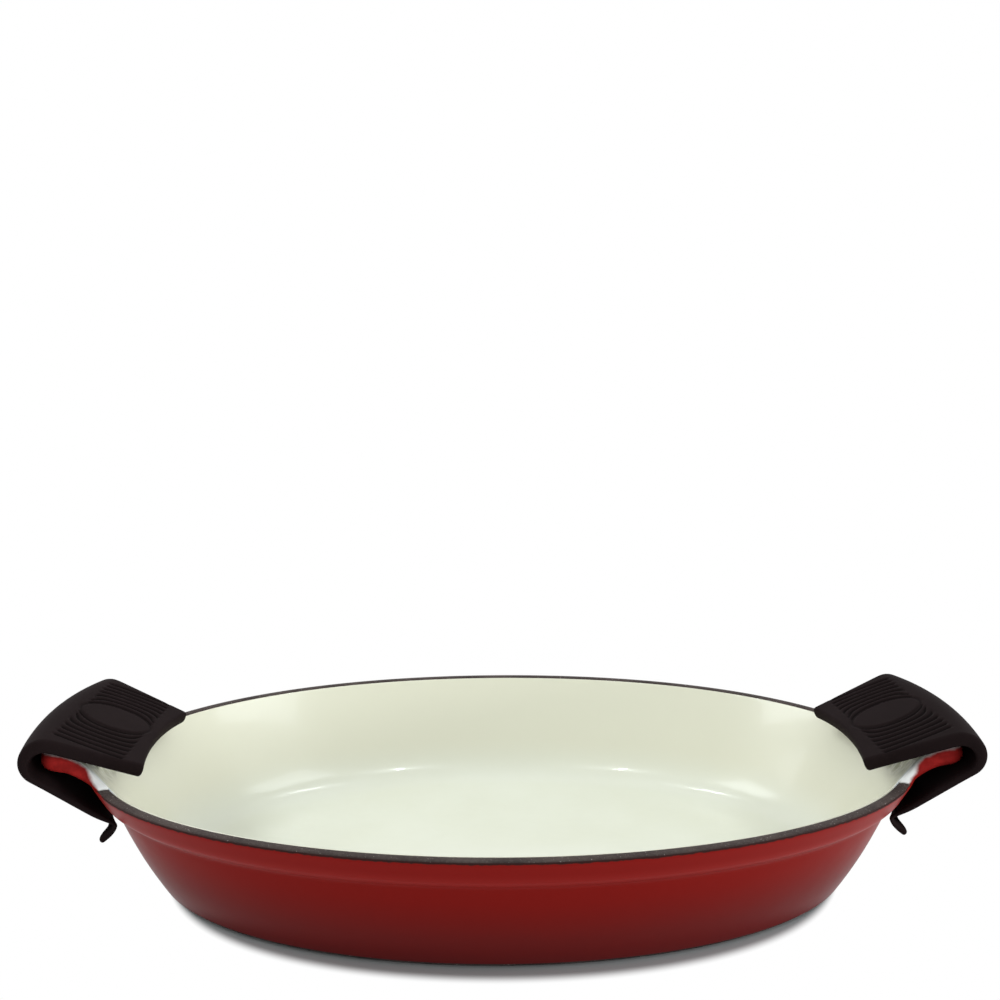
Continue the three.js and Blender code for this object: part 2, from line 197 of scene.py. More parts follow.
# Along the handle's side: x and half breadth
SIDE_PLAN = [(148.4, 41.3), (154.0, 37.2), (159.6, 35.3), (165.4, 35.9), (171.2, 37.2),
             (176.8, 35.6), (179.0, 28.0)]
# The four levels: inset of its root on the rim, inset at the handle's edge, depth under the top
EDGE_LEVELS = [(4.4, 1.1, 0.0), (3.55, 0.0, 1.5), (0.75, 0.1, 5.1), (-0.05, 2.4, 6.7)]
# Columns draw out to the sides, where the edge is rounded, over this share of the handle's length.
SPREAD = [0.0, 0.33, 0.66, 0.92, 1.0]
SPREAD_LENGTH = 0.4
# The handle has its full depth from this share of its length on.
FULL_DEPTH = 0.55


def mix(a, b, share):
    return a + (b - a) * share


def rim_x(inset, angle):
    """How far along the dish a ring of the rim is at an angle."""
    return (HALF_LENGTH - inset) * math.cos(angle)


def handle_height(x, angle):
    """The top rolls over from the wall in the middle, and sweeps up at the sides."""
    root = rim_x(EDGE_LEVELS[0][0], angle)
    start = RIM_HEIGHT - rim_dip(angle, RIM_HEIGHT)
    climb = min(1.0, max(0.0, (x - root) / (HANDLE_END - LEVEL_LENGTH - root)))
    side = min(1.0, abs(angle) / HANDLE_ANGLE) ** 2
    return mix(start, HANDLE_TOP, mix(1 - (1 - climb) ** 2, ease(climb), side))


def handle_point(step, column, level):
    """Where a vertex of the right handle goes."""
    root_inset, edge_inset, depth = EDGE_LEVELS[level]
    angle = column * COLUMN_TURN
    side_x, half_breadth = SIDE_PLAN[step]
    share = (side_x - SIDE_PLAN[0][0]) / (HANDLE_END - SIDE_PLAN[0][0])
    plain = math.sin(angle) / math.sin(HANDLE_ANGLE)
    spread = math.copysign(SPREAD[abs(column)], column)
    y = mix(plain, spread, ease(share / SPREAD_LENGTH)) * (half_breadth - edge_inset)
    bow = HANDLE_BOW * (y / BOW_HALF_BREADTH) ** 2 * share
    top_x = mix(rim_x(EDGE_LEVELS[0][0], angle), HANDLE_END, share) - bow
    x = mix(rim_x(root_inset, angle), HANDLE_END - edge_inset, share) - bow
    z = handle_height(top_x, angle) - depth * ease(share / FULL_DEPTH)
    return Vector((x, y, z)) * MM


print("handle steps:", len(SIDE_PLAN), "levels:", len(EDGE_LEVELS))

# %% [markdown]
# The plan is for the right handle. The left one is the same, half a turn round, so both are
# extruded in one loop that starts from the column in the middle of each end.


# %% Extrude both handles
def from_middle(column, end_column):
    """Columns from the middle of an end, counted both ways."""
    return (column - end_column + COLUMNS // 2) % COLUMNS - COLUMNS // 2


def select_rim_end(mesh, end_column):
    shape = bmesh.from_edit_mesh(mesh)
    ring_of, column_of = shape.verts.layers.int["ring"], shape.verts.layers.int["column"]
    for face in shape.faces:
        on_rim = all(OUTER_RIM <= v[ring_of] <= INNER_RIM for v in face.verts)
        away = max(abs(from_middle(v[column_of], end_column)) for v in face.verts)
        face.select_set(on_rim and away <= HALF_COLUMNS)
    bmesh.update_edit_mesh(mesh)


def lay_out_step(mesh, step, end_column):
    shape = bmesh.from_edit_mesh(mesh)
    ring_of, column_of = shape.verts.layers.int["ring"], shape.verts.layers.int["column"]
    turn = -1 if end_column else 1
    for vertex in shape.verts:
        if vertex.select:
            column = from_middle(vertex[column_of], end_column)
            place = handle_point(step, column, INNER_RIM - vertex[ring_of])
            vertex.co = Vector((turn * place.x, turn * place.y, place.z))
    bmesh.update_edit_mesh(mesh)


bpy.ops.mesh.select_mode(type="FACE")
mark_selected(casting.data, step=0)
for end_column in (0, COLUMNS // 2):
    bpy.ops.mesh.select_all(action="DESELECT")
    select_rim_end(casting.data, end_column)
    for step in range(1, len(SIDE_PLAN)):
        bpy.ops.mesh.extrude_region_move()
        lay_out_step(casting.data, step, end_column)
        mark_selected(casting.data, step=step)
bpy.ops.mesh.select_all(action="SELECT")
bpy.ops.mesh.normals_make_consistent(inside=False)
bpy.ops.object.mode_set(mode="OBJECT")
print("casting cage:", len(casting.data.polygons), "faces")

# %% [markdown]
# ## Which face gets which finish
# In the works the bare casting is masked, sprayed and fired. Here each face of the cage is
# marked as bare iron, cream or red before it is smoothed, because the smooth surface keeps the
# marks. Cream covers the inside and the handles' tops. Red covers the outside and the handles'
# edges and undersides. Glass runs off an edge while it melts, so each vertex also gets a number
# for how thin the coat is there: a little on the step under the collar, most where a handle
# leaves the rim. On the step the same number also lays a painted highlight on the red. A second
# number marks the red coat's upper edge along the bare rim.

# %% Mark the finishes
IRON, CREAM, RED = range(3)
# How thin the coat is on the two rings of the collar's step; in the red this also sets a painted
# highlight
STEP_RINGS = {11: 0.2, 12: 0.12}
# For each step of a handle's side: how thin the coat is from its top edge to its underside
THIN_SIDES = [(1.0, 1.0, 0.7, 0.0), (0.9, 0.75, 0.15, 0.0)] + 5 * [(0.62, 0.12, 0.0, 0.0)]


def finish_of(rings, steps):
    if max(steps) > 0:
        return CREAM if min(rings) == INNER_RIM else RED
    if min(rings) >= INNER_RIM:
        return CREAM
    return RED if FOOT_RING <= min(rings) and max(rings) <= OUTER_RIM else IRON


for name in ("bare iron", "cream enamel", "red enamel"):
    casting.data.materials.append(bpy.data.materials.new(name))
for name in ("thin_glaze", "rim_edge"):
    casting.data.attributes.new(name, "FLOAT", "POINT")
thin_glaze = casting.data.attributes["thin_glaze"].data
rim_edge = casting.data.attributes["rim_edge"].data
ring_marks = casting.data.attributes["ring"].data
step_marks = casting.data.attributes["step"].data
column_marks = casting.data.attributes["column"].data
counts = [0, 0, 0]
for face in casting.data.polygons:
    rings = [ring_marks[v].value for v in face.vertices]
    steps = [step_marks[v].value for v in face.vertices]
    face.material_index = finish_of(rings, steps)
    counts[face.material_index] += 1
for number, mark in enumerate(ring_marks):
    column, step = column_marks[number].value, step_marks[number].value
    from_end = min(abs(from_middle(column, 0)), abs(from_middle(column, COLUMNS // 2)))
    level = INNER_RIM - mark.value
    if from_end == HALF_COLUMNS and 0 <= level < len(EDGE_LEVELS):
        thin_glaze[number].value = THIN_SIDES[step][level]
    else:
        thin_glaze[number].value = STEP_RINGS.get(mark.value, 0.0)
    beside_handles = step == 0 and from_end > HALF_COLUMNS
    rim_edge[number].value = float(mark.value == OUTER_RIM and beside_handles)
print("faces of iron, cream and red:", counts)

# %% [markdown]
# ## Smoothing the casting and lifting the coats off it
# A subdivision surface turns the cage into the soft casting. Each coat is a copy of the casting
# with the other faces deleted, thickened outwards by less than half a millimetre, and its free
# edge is rounded as glass flows when it is fired. A painted boundary would look the same from
# far away, but real enamel has an edge that catches the light.

# %% Helpers for modifiers and copies
def select_only(piece):
    bpy.ops.object.select_all(action="DESELECT")
    bpy.context.view_layer.objects.active = piece
    piece.select_set(True)


def apply_modifier(piece, kind, **settings):
    select_only(piece)
    modifier = piece.modifiers.new(kind.title(), kind)
    for name, value in settings.items():
        setattr(modifier, name, value)
    bpy.ops.object.modifier_apply(modifier=modifier.name)


def copy_of(piece, name):
    select_only(piece)
    bpy.ops.object.duplicate()
    copied = bpy.context.object
    copied.name = name
    return copied


def keep_finish(piece, finish):
    """Deletes the faces that are marked for another finish."""
    bpy.ops.object.mode_set(mode="EDIT")
    bpy.ops.mesh.select_mode(type="FACE")
    bpy.ops.mesh.select_all(action="DESELECT")
    shape = bmesh.from_edit_mesh(piece.data)
    for face in shape.faces:
        face.select_set(face.material_index != finish)
    bmesh.update_edit_mesh(piece.data)
    bpy.ops.mesh.delete(type="FACE")
    bpy.ops.object.mode_set(mode="OBJECT")


def triangles(piece):
    return sum(len(face.vertices) - 2 for face in piece.data.polygons)


print("triangles before smoothing:", triangles(casting))

# %% The coats and the smooth casting
# The cream coat is smoothed once more than the rest, because it takes the handles' ribs.
SMOOTH, EXTRA_SMOOTH = 2, 3

cream_coat = copy_of(casting, "cream_inside_enamel")
red_coat = copy_of(casting, "red_outside_enamel")
for coat, finish, level in ((cream_coat, CREAM, EXTRA_SMOOTH), (red_coat, RED, SMOOTH)):
    apply_modifier(coat, "SUBSURF", levels=level, render_levels=level)
    keep_finish(coat, finish)
    print(coat.name, "surface faces:", len(coat.data.polygons))
apply_modifier(casting, "SUBSURF", levels=SMOOTH, render_levels=SMOOTH)
print(casting.name, triangles(casting), "triangles")

# %% [markdown]
# ## Ribs on the handles' tops
# Low ribs run along each handle's top so that a cloth doesn't slip. They could be separate bars,
# but on the casting they swell out of the top without a corner, so a Displace modifier moves the
# cream surface before it is thickened. A vertex group says how far each vertex goes. The casting
# under the coat is carved in the same way, a little deeper, so that it stays covered.

# %% Handle ribs
RIB_PITCH = 7.0
RIB_HEIGHT = 0.55
UNDER_RIBS = 0.3
RIB_SPAN = (153.5, 175.0)
RIB_HALF_BREADTH = 31.5
RIB_FADE = 3.0
# Only what lies above this height and faces up at least this much is carved.
RIB_FOOT = 42.0
RIB_FACING = 0.2


def fade_in(value, low, high, length):
    """1 between low and high, fading to 0 at both over a length."""
    return ease((value - low) / length) * ease((high - value) / length)


def carve_ribs(piece, depth):
    ribs = piece.vertex_groups.new(name="ribs")
    for vertex in piece.data.vertices:
        x, y, z = (abs(v) / MM for v in vertex.co)
        if z < RIB_FOOT or vertex.normal.z < RIB_FACING:
            continue
        area = fade_in(x, *RIB_SPAN, RIB_FADE)
        area *= fade_in(y, -RIB_HALF_BREADTH, RIB_HALF_BREADTH, RIB_FADE)
        wave = 0.5 - 0.5 * math.cos(2 * math.pi * y / RIB_PITCH)
        ribs.add([vertex.index], area * wave, "REPLACE")
    apply_modifier(piece, "DISPLACE", vertex_group="ribs", mid_level=0, strength=-depth * MM)


carve_ribs(cream_coat, RIB_HEIGHT)
carve_ribs(casting, RIB_HEIGHT + UNDER_RIBS)
print("ribs carved, mm deep:", RIB_HEIGHT)

# %% [markdown]
# Now each coat gets its thickness. The thickness could only be hinted at by a bump, but then the
# coat's free edge would have no side to catch the light. The Solidify modifier grows it outwards
# from the casting, and the Bevel modifier rounds its edge.

# %% Thicken the coats
COAT = 0.45
EDGE_ROUND = 0.16
EDGE_ANGLE = math.radians(55)

for coat in (cream_coat, red_coat):
    apply_modifier(coat, "SOLIDIFY", thickness=COAT * MM, offset=1)
    apply_modifier(coat, "BEVEL", width=EDGE_ROUND * MM, segments=2, limit_method="ANGLE",
                   angle_limit=EDGE_ANGLE)
    print(coat.name, triangles(coat), "triangles")

# %% [markdown]
# ## The silicone sleeve
# Each sleeve is one moulding: a sloping plate on top of the handle, a bend round the handle's
# end, and a thin flap that reaches back under the collar and ends in a small ear at each corner.
# It could be cut out of a block. Here a sheet the shape of its inner face is drawn out: a grid for
# the plate, a spin for the bend, and extrusions for the flap and a lip. Later the lip's middle is
# drawn up, so that only the ears stay. The sheet then gets its thickness.

# %% Sleeve sheet
SLEEVE_SLOPE = math.radians(21.5)
FLAP_SLOPE = math.radians(35)
SLEEVE_BREADTH = 88.0
NOSE_X = 138.6
# The middle of the bend round the handle's end
CAVITY = Vector((171.87, 0, 57.17))
CAVITY_RADIUS = 5.1
# Where the flap ends, how far the lip hangs below that, and how far it turns outwards
FOOT_X = 145.29
LIP_DROP = 7.4
LIP_FLARE = 6.2
PLATE_ROWS, BEND_ROWS, FLAP_ROWS, LIP_ROWS, SLEEVE_COLUMNS = 16, 10, 11, 8, 40
# What is nearer to a place than this lies on it.
ON_PLACE = 0.02

plate_normal = Vector((-math.sin(SLEEVE_SLOPE), 0, math.cos(SLEEVE_SLOPE)))
plate_way = Vector((math.cos(SLEEVE_SLOPE), 0, math.sin(SLEEVE_SLOPE)))
flap_way = Vector((-math.cos(FLAP_SLOPE), 0, -math.sin(FLAP_SLOPE)))
bend_start = CAVITY + plate_normal * CAVITY_RADIUS
plate_length = (bend_start.x - NOSE_X) / plate_way.x
bend_end = CAVITY + Vector((math.sin(FLAP_SLOPE), 0, -math.cos(FLAP_SLOPE))) * CAVITY_RADIUS
flap_length = (bend_end.x - FOOT_X) / -flap_way.x
flap_foot = bend_end + flap_way * flap_length
plate_middle = bend_start - plate_way * plate_length / 2


def select_edge_near(mesh, place):
    """Selects the edges that lie along the Y axis through a place, and nothing else."""
    bpy.ops.mesh.select_mode(type="EDGE")
    bpy.ops.mesh.select_all(action="DESELECT")
    shape = bmesh.from_edit_mesh(mesh)
    for edge in shape.edges:
        away = [math.hypot(v.co.x - place.x * MM, v.co.z - place.z * MM) for v in edge.verts]
        edge.select_set(max(away) < ON_PLACE * MM)
    bmesh.update_edit_mesh(mesh)


bpy.ops.object.select_all(action="DESELECT")
bpy.ops.mesh.primitive_grid_add(x_subdivisions=PLATE_ROWS, y_subdivisions=SLEEVE_COLUMNS, size=1)
right_sleeve = bpy.context.object
right_sleeve.name = "right_silicone_sleeve"
bpy.ops.object.mode_set(mode="EDIT")
bpy.ops.transform.resize(value=(plate_length * MM, SLEEVE_BREADTH * MM, 1))
bpy.ops.object.mode_set(mode="OBJECT")
right_sleeve.rotation_euler = (0, -SLEEVE_SLOPE, 0)
right_sleeve.location = plate_middle * MM
bpy.ops.object.transform_apply(location=True, rotation=True, scale=True)
bpy.ops.object.mode_set(mode="EDIT")
select_edge_near(right_sleeve.data, bend_start)
bpy.ops.mesh.spin(steps=BEND_ROWS, angle=math.pi - FLAP_SLOPE + SLEEVE_SLOPE,
                  center=CAVITY * MM, axis=(0, -1, 0))
select_edge_near(right_sleeve.data, bend_end)
for row in range(FLAP_ROWS):
    bpy.ops.mesh.extrude_region_move(
        TRANSFORM_OT_translate={"value": flap_way * flap_length / FLAP_ROWS * MM})
for row in range(LIP_ROWS):
    low, high = row / LIP_ROWS, (row + 1) / LIP_ROWS
    move = Vector((LIP_FLARE * (high ** 2 - low ** 2), 0, -LIP_DROP * (high - low)))
    bpy.ops.mesh.extrude_region_move(TRANSFORM_OT_translate={"value": move * MM})
bpy.ops.object.mode_set(mode="OBJECT")
print("sleeve sheet:", len(right_sleeve.data.polygons), "faces")
print("lowest point, mm:", round(min(v.co.z for v in right_sleeve.data.vertices) / MM, 2))

# %% [markdown]
# The sheet is still a plain strip. The real sleeve is wider at its outer end than at its nose,
# its nose and its bend follow shallow arcs, and its foot follows the bowl's wall, so each vertex
# is moved by those three rules. Its thickness is worked out first, while the strip's section is
# still easy to read: thick on the plate, thinning round the bend, and thin in the flap.

# %% Sleeve section and outline
SLEEVE_NECK = 67.0
PLATE_THICKNESS = 5.5
PLATE_CROWN = 0.2
FLAP_THICKNESS = 2.4
LIP_THICKNESS = 1.3
LIP_TAPER = 8.0
OUTER_BEND = Vector((171.81, 0, 58.91))
OUTER_BEND_RADIUS = 8.96
# How far the middle of the nose, the bend and the foot lies outside their corners
NOSE_BOW = 3.5
BEND_BOW = 4.3
FOOT_BOW = 0.9
WALL_GAP = 0.82
# An ear begins and is full at these shares of the half breadth, and this share of the lip is
# left between the ears.
EAR_START = 0.78
EAR_FULL = 0.94
LIP_MIDDLE = 0.12
# How exactly a vertex has to lie on the plate or on the bend
CLOSE = 0.05


def on_plate(place):
    over_bend = (place - CAVITY).dot(plate_normal)
    return over_bend > CAVITY_RADIUS - CLOSE and place.x < bend_start.x + CLOSE


def crown_drop(y):
    """How much lower the plate's top is than on its middle line."""
    return PLATE_CROWN * (2 * y / SLEEVE_BREADTH) ** 2


def sleeve_thickness(place):
    out = Vector((place.x, 0, place.z)) - CAVITY
    if on_plate(place):
        return PLATE_THICKNESS - crown_drop(place.y)
    if abs(out.length - CAVITY_RADIUS) < CLOSE:
        offset = OUTER_BEND - CAVITY
        lead = out.normalized().dot(offset)
        reach = lead + math.sqrt(lead ** 2 - offset.length_squared + OUTER_BEND_RADIUS ** 2)
        drop = crown_drop(place.y) * max(0.0, out.normalized().dot(plate_normal))
        return reach - CAVITY_RADIUS - drop
    return mix(LIP_THICKNESS, FLAP_THICKNESS, ease((place.x - FOOT_X) / LIP_TAPER))


def half_breadth_at(x):
    return mix(SLEEVE_NECK, SLEEVE_BREADTH, (x - NOSE_X) / (HANDLE_END - NOSE_X)) / 2


def wall_seat(y):
    """Where the foot meets the bowl's wall."""
    reach = HALF_LENGTH - WALL_INSET - END_DRAW
    return reach * math.sqrt(1 - (y / (HALF_BREADTH - WALL_INSET)) ** 2) + WALL_GAP


def sleeve_outline(place):
    """Where a place on the plain strip goes."""
    across = 2 * place.y / SLEEVE_BREADTH
    bow = 1 - across ** 2
    top_side = (place - CAVITY).dot(plate_normal) > 0
    start_x = NOSE_X if top_side else FOOT_X
    share = min(1.0, max(0.0, (place.x - start_x) / (CAVITY.x - start_x)))
    start = plate_way * (NOSE_BOW * bow / plate_way.x)
    if not top_side:
        seat = wall_seat(across * half_breadth_at(FOOT_X)) + FOOT_BOW * bow
        start = Vector((seat - FOOT_X, 0, 0))
    moved = place + start.lerp(plate_way * (BEND_BOW * bow), share)
    below = max(0.0, flap_foot.z - place.z)
    drawn_up = (1 - LIP_MIDDLE) * (1 - ease((abs(across) - EAR_START) / (EAR_FULL - EAR_START)))
    moved.z += drawn_up * below
    moved.x -= drawn_up * LIP_FLARE * (below / LIP_DROP) ** 2
    moved.y = across * half_breadth_at(place.x)
    return moved


thickness = right_sleeve.vertex_groups.new(name="thickness")
for vertex in right_sleeve.data.vertices:
    place = vertex.co / MM
    thickness.add([vertex.index], sleeve_thickness(place) / PLATE_THICKNESS, "REPLACE")
    vertex.co = sleeve_outline(place) * MM
sheet_vertices = len(right_sleeve.data.vertices)
plate_up = [f.normal.z for f in right_sleeve.data.polygons if f.center.z > bend_start.z * MM]
print("plate faces upwards:", sum(plate_up) > 0)

# %% [markdown]
# Thickness comes from a Solidify modifier that reads the vertex group. A moulding has no sharp
# corners, so its edges get a bevel weight in step with the thickness there, wide on the outside
# and narrow on the inside, and the Bevel modifier rounds them. Two subdivisions smooth the rest.

# %% Thicken and round the sleeve
# Shares of the thickness
OUTER_ROUND = 0.28
INNER_ROUND = 0.1
SHARP = math.radians(50)

apply_modifier(right_sleeve, "SOLIDIFY", thickness=PLATE_THICKNESS * MM, offset=1,
               vertex_group="thickness", use_even_offset=True)
sleeve_mesh = right_sleeve.data
weights = [sum(g.weight for g in v.groups if g.group == thickness.index)
           for v in sleeve_mesh.vertices]
bevel_weight = sleeve_mesh.attributes.new("bevel_weight_edge", "FLOAT", "EDGE")
shape = bmesh.new()
shape.from_mesh(sleeve_mesh)
rounded = 0
for number, edge in enumerate(shape.edges):
    if edge.is_manifold and edge.calc_face_angle() > SHARP:
        outside = all(v.index >= sheet_vertices for v in edge.verts)
        share = OUTER_ROUND if outside else INNER_ROUND
        thin = min(weights[v.index] for v in edge.verts)
        bevel_weight.data[number].value = thin * share / OUTER_ROUND
        rounded += 1
shape.free()
apply_modifier(right_sleeve, "BEVEL", width=OUTER_ROUND * PLATE_THICKNESS * MM, segments=3,
               limit_method="WEIGHT")
apply_modifier(right_sleeve, "SUBSURF", levels=SMOOTH, render_levels=SMOOTH)
print("rounded edges:", rounded, "triangles:", triangles(right_sleeve))

# %% [markdown]
# ## Ribs and a plain oval on the sleeve
# The plate has a smooth oval in the middle and fine grooves on each side of it, which follow the
# oval close by and straighten towards the edges. They are moulded in, so they are geometry: a
# vertex group holds the groove's depth, and a Displace modifier sinks the surface by it.

# %% Sleeve grooves
OVAL_X = 157.5
OVAL_HALF_LENGTH = 13.4
OVAL_HALF_BREADTH = 10.9
GROOVE_PITCH = 3.6
GROOVE_START = 1.6
GROOVE_COUNT = 7
GROOVE_DEPTH = 0.75
# A higher power makes the grooves narrower than the ribs between them.
GROOVE_POWER = 1.6
# The grooves fade out at their ends over a share of the oval's half length, and over lengths
# after the last groove and beside the oval.
TIP_FADE, LAST_FADE, OVAL_FADE = 0.1, 0.6, 0.8
OUTLINE_WIDTH = 0.55
OUTLINE_DEPTH = 0.6
STRAIGHTEN = 9.0
# Only what lies this high over the plate's underside and faces up this much is grooved.
GROOVED_FROM = 3.0
GROOVED_FACING = 0.9
SHALLOWEST = 0.001


def groove_depth(x, y):
    """Depth of the pattern, from 0 to 1, at a place on the plate's top."""
    along, aside = (x - OVAL_X) / OVAL_HALF_LENGTH, abs(y)
    edge = math.hypot(along, aside / OVAL_HALF_BREADTH)
    outline = math.exp(-((edge - 1) * OVAL_HALF_BREADTH / OUTLINE_WIDTH) ** 2)
    if edge < 1:
        return OUTLINE_DEPTH * outline
    sag = OVAL_HALF_BREADTH * (1 - math.sqrt(max(0.0, 1 - min(1.0, abs(along)) ** 2)))
    beyond = max(0.0, aside - OVAL_HALF_BREADTH)
    away = aside - OVAL_HALF_BREADTH + sag * math.exp(-beyond / STRAIGHTEN)
    last = GROOVE_START + (GROOVE_COUNT - 0.5) * GROOVE_PITCH
    turn = 2 * math.pi * (away - GROOVE_START) / GROOVE_PITCH
    wave = (0.5 + 0.5 * math.cos(turn)) ** GROOVE_POWER
    area = ease((1.0 - abs(along)) / TIP_FADE) * ease((last - away) / LAST_FADE)
    area *= ease(away / OVAL_FADE)
    return max(area * wave, OUTLINE_DEPTH * outline)


grooves = right_sleeve.vertex_groups.new(name="grooves")
groove_marks = right_sleeve.data.attributes.new("groove", "FLOAT", "POINT")
top_count = 0
for vertex in right_sleeve.data.vertices:
    place = vertex.co / MM
    height = (place - CAVITY).dot(plate_normal) - CAVITY_RADIUS
    if height > GROOVED_FROM and vertex.normal.dot(plate_normal) > GROOVED_FACING:
        depth = groove_depth(place.x, place.y)
        if depth > SHALLOWEST:
            grooves.add([vertex.index], depth, "REPLACE")
            groove_marks.data[vertex.index].value = depth
            top_count += 1
apply_modifier(right_sleeve, "DISPLACE", vertex_group="grooves", mid_level=0,
               strength=-GROOVE_DEPTH * MM)
print("vertices in grooves:", top_count)

# %% [markdown]
# The two sleeves are alike, so the other one is a copy turned half a turn about the dish's middle,
# with the turn applied to its mesh. Then every piece is shaded smooth, and only its sharper edges
# stay crisp.

# %% The other sleeve
CRISP_ANGLE = math.radians(40)

left_sleeve = copy_of(right_sleeve, "left_silicone_sleeve")
left_sleeve.rotation_euler = (0, 0, math.pi)
bpy.ops.object.transform_apply(location=True, rotation=True, scale=True)
for piece in (casting, cream_coat, red_coat, right_sleeve, left_sleeve):
    select_only(piece)
    bpy.ops.object.shade_smooth_by_angle(angle=CRISP_ANGLE)
print("left sleeve from x =", round(min(v.co.x for v in left_sleeve.data.vertices) / MM, 1), "mm")

# %% [markdown]
# ## Finishes
# Every finish is worked out in its nodes from a place on the piece. Writing each sum as a chain
# of nodes is long-winded, so a small class stands for a socket: sums on it add Math nodes, and one
# method adds any other node.


# %% A socket that can be used in sums
class Wire:
    """A socket in a node tree, or the tree alone before there is a socket."""

    def __init__(self, tree, socket=None):
        self.tree = tree
        self.socket = socket

    def node(self, kind, settings=None, output=0, **inputs):
        """Adds a node. An input is given by its name, or by i and its number."""
        made = self.tree.nodes.new(kind)
        for name, value in (settings or {}).items():
            if name == "stops":
                ramp = made.color_ramp.elements
                while len(ramp) < len(value):
                    ramp.new(0.5)
                for element, (place, colour) in zip(ramp, value):
                    element.position = place
                    element.color = colour
            else:
                setattr(made, name, value)
        for name, value in inputs.items():
            numbered = name[0] == "i" and name[1:].isdigit()
            key = int(name[1:]) if numbered else name.replace("_", " ")
            if isinstance(value, Wire):
                self.tree.links.new(value.socket, made.inputs[key])
            else:
                made.inputs[key].default_value = value
        return Wire(self.tree, made.outputs[output])

    def math(self, operation, first, second=0.0):
        return self.node("ShaderNodeMath", {"operation": operation}, i0=first, i1=second)

    def __add__(self, other):
        return self.math("ADD", self, other)

    def __radd__(self, other):
        return self.math("ADD", other, self)

    def __sub__(self, other):
        return self.math("SUBTRACT", self, other)

    def __rsub__(self, other):
        return self.math("SUBTRACT", other, self)

    def __mul__(self, other):
        return self.math("MULTIPLY", self, other)

    def __rmul__(self, other):
        return self.math("MULTIPLY", other, self)

    def __truediv__(self, other):
        return self.math("DIVIDE", self, other)

    def __pow__(self, other):
        return self.math("POWER", self, other)

    def size(self):
        return self.math("ABSOLUTE", self)

    def larger(self, other):
        return self.math("MAXIMUM", self, other)

    def span(self, low, high):
        """0 at low, 1 at high, and smooth between."""
        return self.node("ShaderNodeMapRange", {"interpolation_type": "SMOOTHSTEP"},
                         i0=self, i1=low, i2=high, i3=0.0, i4=1.0)

    def tint(self, first, second):
        """Goes from the first colour to the second as this value goes from 0 to 1."""
        return self.node("ShaderNodeMix", {"data_type": "RGBA"}, output=2,
                         i0=self, i6=first, i7=second)


def empty_nodes(owner):
    owner.use_nodes = True
    owner.node_tree.nodes.clear()
    return owner.node_tree


def object_place(tree):
    return Wire(tree).node("ShaderNodeTexCoord", output=3)


def new_finish(name, **constants):
    """A material with one Principled shader, constants on its sockets, and places on the piece."""
    material = bpy.data.materials.get(name) or bpy.data.materials.new(name)
    tree = empty_nodes(material)
    shader = tree.nodes.new("ShaderNodeBsdfPrincipled")
    out = tree.nodes.new("ShaderNodeOutputMaterial")
    tree.links.new(shader.outputs[0], out.inputs[0])
    for key, value in constants.items():
        shader.inputs[key.replace("_", " ")].default_value = value
    return material, shader, object_place(tree)


def connect(shader, **wires):
    for key, wire in wires.items():
        wire.tree.links.new(wire.socket, shader.inputs[key.replace("_", " ")])


def noise(place, scale, detail=3.0, roughness=0.5):
    """Soft random values about 0.5. The scale counts their waves in a metre."""
    return place.node("ShaderNodeTexNoise", Vector=place, Scale=scale, Detail=detail,
                      Roughness=roughness)


def bump(height, strength, distance):
    """A surface that seems to rise and fall by a distance in metres."""
    return height.node("ShaderNodeBump", Height=height, Strength=strength, Distance=distance)


X, Y, Z = range(3)


def axis_of(place, axis):
    return place.node("ShaderNodeSeparateXYZ", output=axis, i0=place)


def mark_on(place, name):
    """The number that was written on the vertices under this name."""
    return place.node("ShaderNodeAttribute", {"attribute_name": name}, output=2)


def colour(red, green, blue):
    return (red, green, blue, 1.0)


print("sums for finishes:", [name for name in vars(Wire) if not name.startswith("_")])

# %% [markdown]
# ### Cream enamel
# The inside is thick glossy glass, a slightly green cream, paler where it pooled on the floor and
# yellower up the wall. It is a little cloudy and never quite flat, so its reflections waver.
# A photograph of enamel could be wrapped on, but its light would be fixed in it, so the colour is
# worked out from height and noise. Under the clear skin the glass scatters a little, so it gets a
# soft shine and a thin sharp coat. Where it thins at the handles' roots it turns bluish white.

# %% Cream enamel
POOL_CREAM, POOL_PALE = colour(0.745, 0.774, 0.652), colour(0.770, 0.802, 0.690)
WALL_CREAM = colour(0.735, 0.740, 0.598)
THIN_CREAM = colour(0.80, 0.85, 0.87)
POOL_HEIGHT, WALL_HEIGHT = 6.0, 24.0

cream, shader, place = new_finish("cream enamel", IOR=1.5, Coat_Weight=0.3, Coat_Roughness=0.05)
cloud = noise(place, 22.0, 4.0)
root = mark_on(place, "thin_glaze").span(0.15, 0.9)
up_wall = (axis_of(place, Z) / MM + 5.0 * (cloud - 0.5)).span(POOL_HEIGHT, WALL_HEIGHT)
pool = cloud.span(0.3, 0.7).tint(POOL_CREAM, POOL_PALE)
base = up_wall.tint(pool, WALL_CREAM)
waver = noise(place, 55.0, 2.0)
connect(shader,
        Base_Color=root.tint(base, THIN_CREAM),
        Roughness=0.20 + 0.06 * noise(place, 140.0),
        Normal=bump(waver, 0.12, 0.0012))
print(cream.name, len(cream.node_tree.nodes), "nodes")
